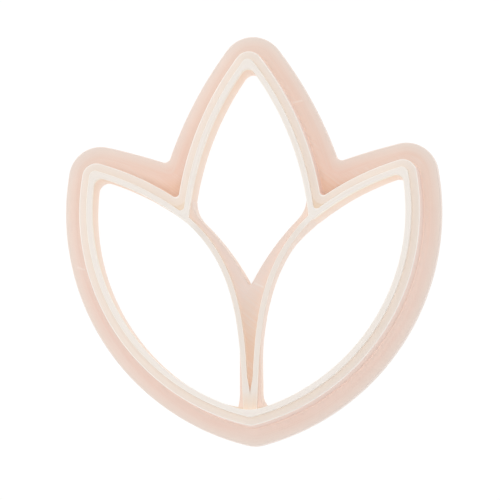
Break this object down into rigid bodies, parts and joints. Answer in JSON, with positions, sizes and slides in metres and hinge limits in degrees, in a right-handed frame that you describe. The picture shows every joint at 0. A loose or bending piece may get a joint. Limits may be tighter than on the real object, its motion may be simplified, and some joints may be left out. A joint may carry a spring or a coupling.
{
  "type": "wheat ear cutter",
  "caption": "Printed dough cutter shaped as a wheat ear of pointed petals, with a wide grip flange, a stepped wall, a thin cutting edge and inner dividers that mark the petals.",
  "frame": {"origin": "middle of the flat back of the grip flange, under the middle of the part's box", "axes": "+X to the right petal, +Y to the tip of the centre petal, +Z from the flange's back to the cutting edge"},
  "size_m": [0.0736, 0.08, 0.012],
  "materials": {
    "flange_plastic": "matte pale pink printed plastic with fine diagonal top lines",
    "wall_plastic": "matte cream pink printed plastic with fine layer lines"
  },
  "bodies": {
    "root": {"grip_flange": "flange_plastic", "fork_web": "flange_plastic", "shoulder_wall": "wall_plastic", "cutting_blade": "wall_plastic", "right_divider": "wall_plastic", "left_divider": "wall_plastic"}
  },
  "joints": []
}
